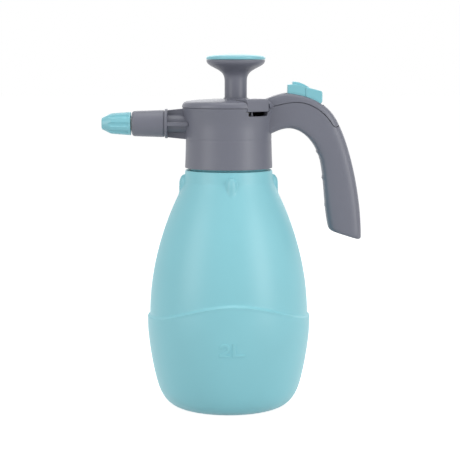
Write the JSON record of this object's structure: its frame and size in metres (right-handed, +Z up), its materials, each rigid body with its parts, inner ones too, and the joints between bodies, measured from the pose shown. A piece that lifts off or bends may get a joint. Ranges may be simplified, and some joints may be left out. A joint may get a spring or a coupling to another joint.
{
  "type": "pump sprayer",
  "caption": "Hand pump pressure sprayer: egg-shaped bottle, screw-on head with pump knob, thumb button on a hooked handle, relief tab and adjustable nozzle.",
  "frame": {"origin": "centre of the foot ring, on the bottle's axis, in the plane it stands on", "axes": "+Z up along the bottle's axis, -X towards the nozzle, +X towards the handle, -Y towards the relief tab's side"},
  "size_m": [0.219, 0.1382, 0.2989],
  "materials": {
    "bottle_plastic": "blow-moulded polyethylene, satin",
    "trim_plastic": "moulded polypropylene, semi-gloss",
    "head_plastic": "moulded polypropylene, fine satin",
    "inner_plastic": "moulded acetal, natural",
    "seal_rubber": "moulded nitrile rubber",
    "spring_steel": "stainless steel, drawn"
  },
  "bodies": {
    "tank": {"bottle": "bottle_plastic"},
    "gasket": {"neck_gasket": "seal_rubber"},
    "head": {"head_body": "head_plastic", "handle_body": "head_plastic", "nozzle_arm": "head_plastic", "top_cover": "head_plastic", "pump_cylinder": "inner_plastic", "pump_guide": "inner_plastic", "cylinder_seal": "seal_rubber", "valve_body": "inner_plastic", "valve_plug": "inner_plastic", "stem_seal": "seal_rubber", "outlet_seal": "seal_rubber", "valve_spring": "spring_steel", "trigger_pin": "spring_steel", "trigger_spring": "spring_steel", "dip_tube": "inner_plastic", "strainer": "inner_plastic", "nozzle_sleeve": "head_plastic", "nozzle_tube": "inner_plastic", "nozzle_core": "inner_plastic", "relief_spring": "spring_steel", "relief_cap": "inner_plastic"},
    "pump": {"pump_handle": "head_plastic", "knob_cap": "trim_plastic", "piston": "inner_plastic", "piston_seal": "seal_rubber", "piston_screw": "spring_steel"},
    "check_valve": {"check_valve": "seal_rubber"},
    "trigger": {"trigger_button": "trim_plastic"},
    "yoke": {"valve_yoke": "inner_plastic", "valve_stem": "spring_steel", "valve_seal": "seal_rubber"},
    "nozzle_seal": {"nozzle_o_ring": "seal_rubber"},
    "nozzle": {"nozzle_cap": "trim_plastic"},
    "relief": {"relief_tab": "head_plastic", "relief_stem": "head_plastic", "relief_seal": "seal_rubber"}
  },
  "joints": [
    {"name": "head_turn", "type": "hinge", "parent": "tank", "child": "gasket", "pos_m": [0, 0, 0.2226], "axis": [0, 0, 1], "range_deg": [0, 540]},
    {"name": "head_lift", "type": "slide", "parent": "gasket", "child": "head", "axis": [0, 0, 1], "range_m": [0, 0.22]},
    {"name": "pump_stroke", "type": "slide", "parent": "head", "child": "pump", "axis": [0, 0, 1], "range_m": [0, 0.08]},
    {"name": "check_valve_open", "type": "slide", "parent": "head", "child": "check_valve", "axis": [0, 0, -1], "range_m": [0, 0.0012], "stiffness_N_per_m": 60, "springref_m": -0.002},
    {"name": "trigger_press", "type": "hinge", "parent": "head", "child": "trigger", "pos_m": [0.072, 0, 0.2568], "axis": [0, -1, 0], "range_deg": [0, 6.5], "stiffness_Nm_per_rad": 0.66, "springref_deg": -6.3, "deforming": ["trigger_spring"]},
    {"name": "valve_pull", "type": "slide", "parent": "head", "child": "yoke", "axis": [1, 0, 0], "range_m": [0, 0.00185], "deforming": ["valve_spring"]},
    {"name": "nozzle_advance", "type": "slide", "parent": "head", "child": "nozzle_seal", "axis": [-1, 0, 0], "range_m": [0, 0.00226]},
    {"name": "nozzle_twist", "type": "hinge", "parent": "nozzle_seal", "child": "nozzle", "pos_m": [-0.09, 0, 0.2401], "axis": [-1, 0, 0], "range_deg": [0, 540]},
    {"name": "relief_lift", "type": "slide", "parent": "head", "child": "relief", "axis": [0, 0, 1], "range_m": [0, 0.0025], "stiffness_N_per_m": 800, "springref_m": -0.004, "deforming": ["relief_spring"]}
  ],
  "couplings": [
    {"joint": "valve_pull", "follows": "trigger_press", "m_per_rad": 0.016},
    {"joint": "nozzle_advance", "follows": "nozzle_twist", "m_per_rad": 0.000239}
  ]
}
